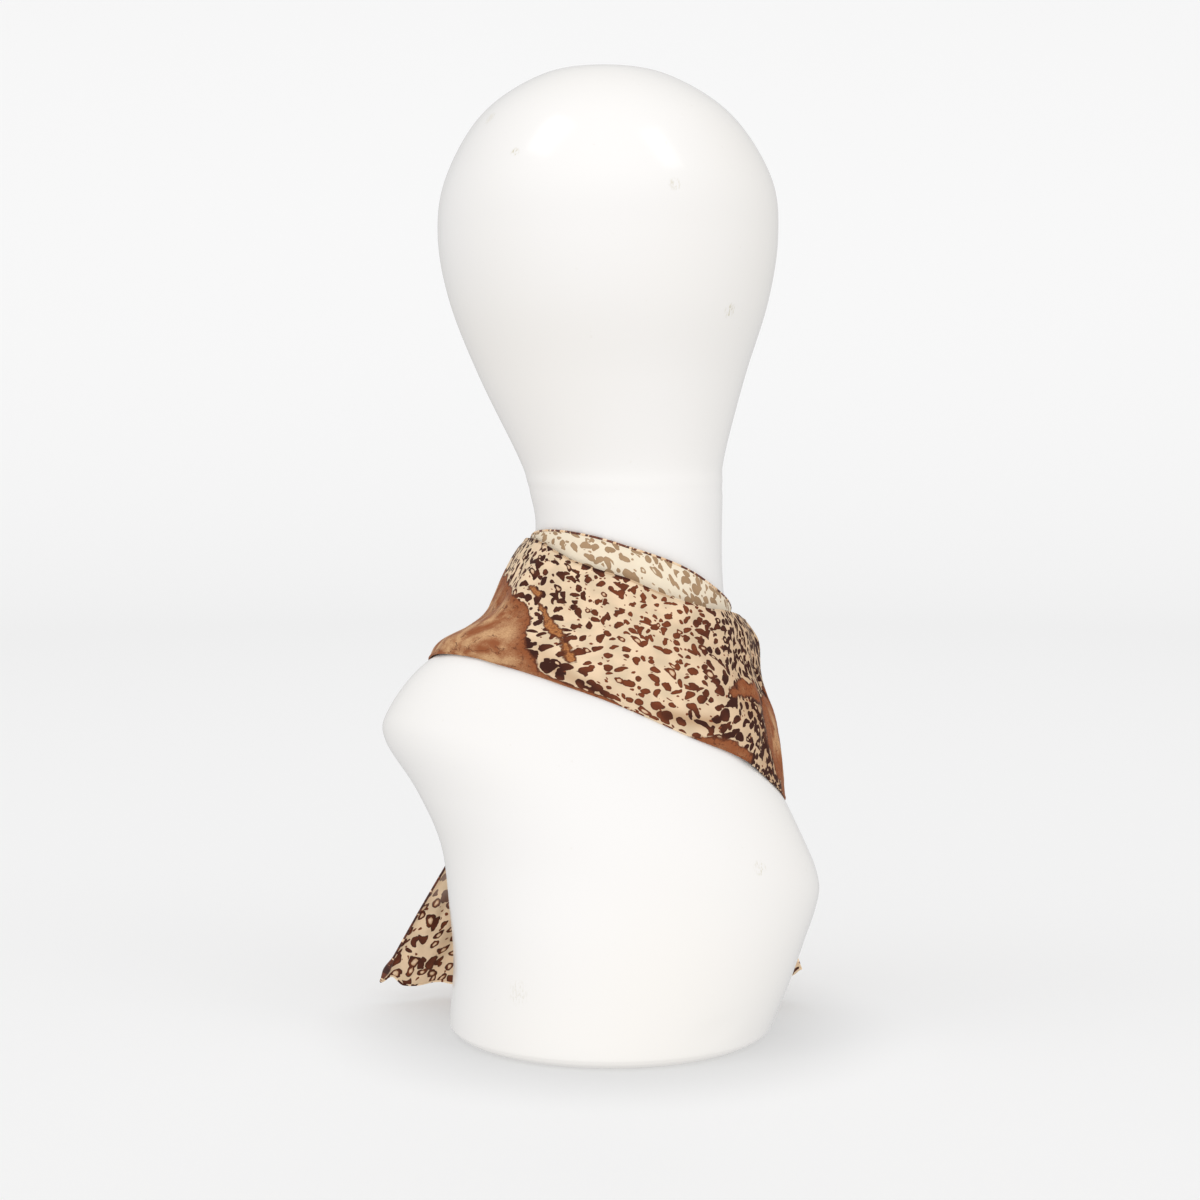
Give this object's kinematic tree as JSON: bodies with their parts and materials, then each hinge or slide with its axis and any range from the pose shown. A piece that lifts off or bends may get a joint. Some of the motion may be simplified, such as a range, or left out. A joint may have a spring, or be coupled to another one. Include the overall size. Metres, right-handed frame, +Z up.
{
  "type": "foulard on a limbless display head form",
  "caption": "Small oblong silk foulard, wound double round the neck of a smooth display head form and knotted in front with spread tails.",
  "frame": {"origin": "middle of the form's flat base", "axes": "+Z up from the base to the crown, +Y towards the front of the form where the knot and the tails are, the low shoulder at +X"},
  "size_m": [0.2381, 0.1845, 0.5064],
  "materials": {
    "form_gloss": "smooth white gloss with a few small scuffs",
    "silk_print": "light sheer silk, cream ground with dark brown spots and mottled cognac borders, rolled hems",
    "silk_reverse": "reverse of the same silk, paler, the spots showing through greyish"
  },
  "bodies": {
    "root": {"display_form": "form_gloss", "wrap_inner": "silk_reverse", "wrap_outer": "silk_print", "knot": "silk_print", "tail_left": "silk_print", "tail_right": "silk_print"}
  },
  "joints": []
}
